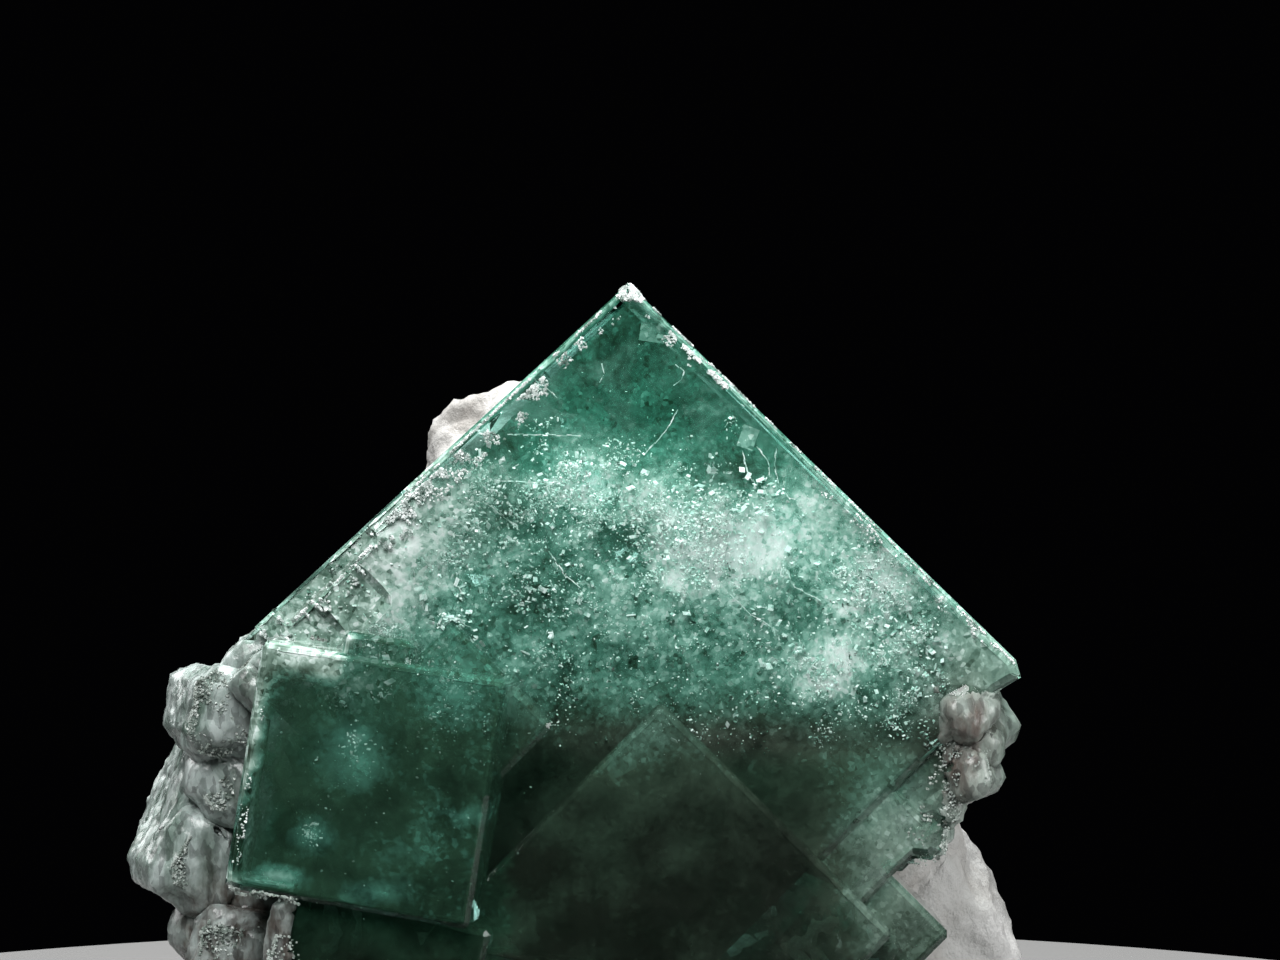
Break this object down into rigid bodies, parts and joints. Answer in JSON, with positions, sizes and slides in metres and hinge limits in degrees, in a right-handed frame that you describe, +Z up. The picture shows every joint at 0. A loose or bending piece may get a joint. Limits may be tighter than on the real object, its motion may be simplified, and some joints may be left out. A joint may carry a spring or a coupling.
{
  "type": "fluorite crystal cluster on white rock",
  "caption": "Natural cluster of clear green cube-shaped fluorite crystals, the largest standing on its corner, grown on a lump of white rock with a flat base.",
  "frame": {"origin": "middle of the footprint, on the flat base it rests on", "axes": "+Z up, +X to the right and +Y away from the viewer, who faces the large crystal's flat face"},
  "size_m": [0.0352, 0.029, 0.0304],
  "materials": {
    "green_fluorite": "clear green crystal with frosted edges and cloudy middle",
    "white_rock": "matt, slightly sparkling"
  },
  "bodies": {
    "root": {"fluorite_crystals": "green_fluorite", "white_rock": "white_rock"}
  },
  "joints": []
}
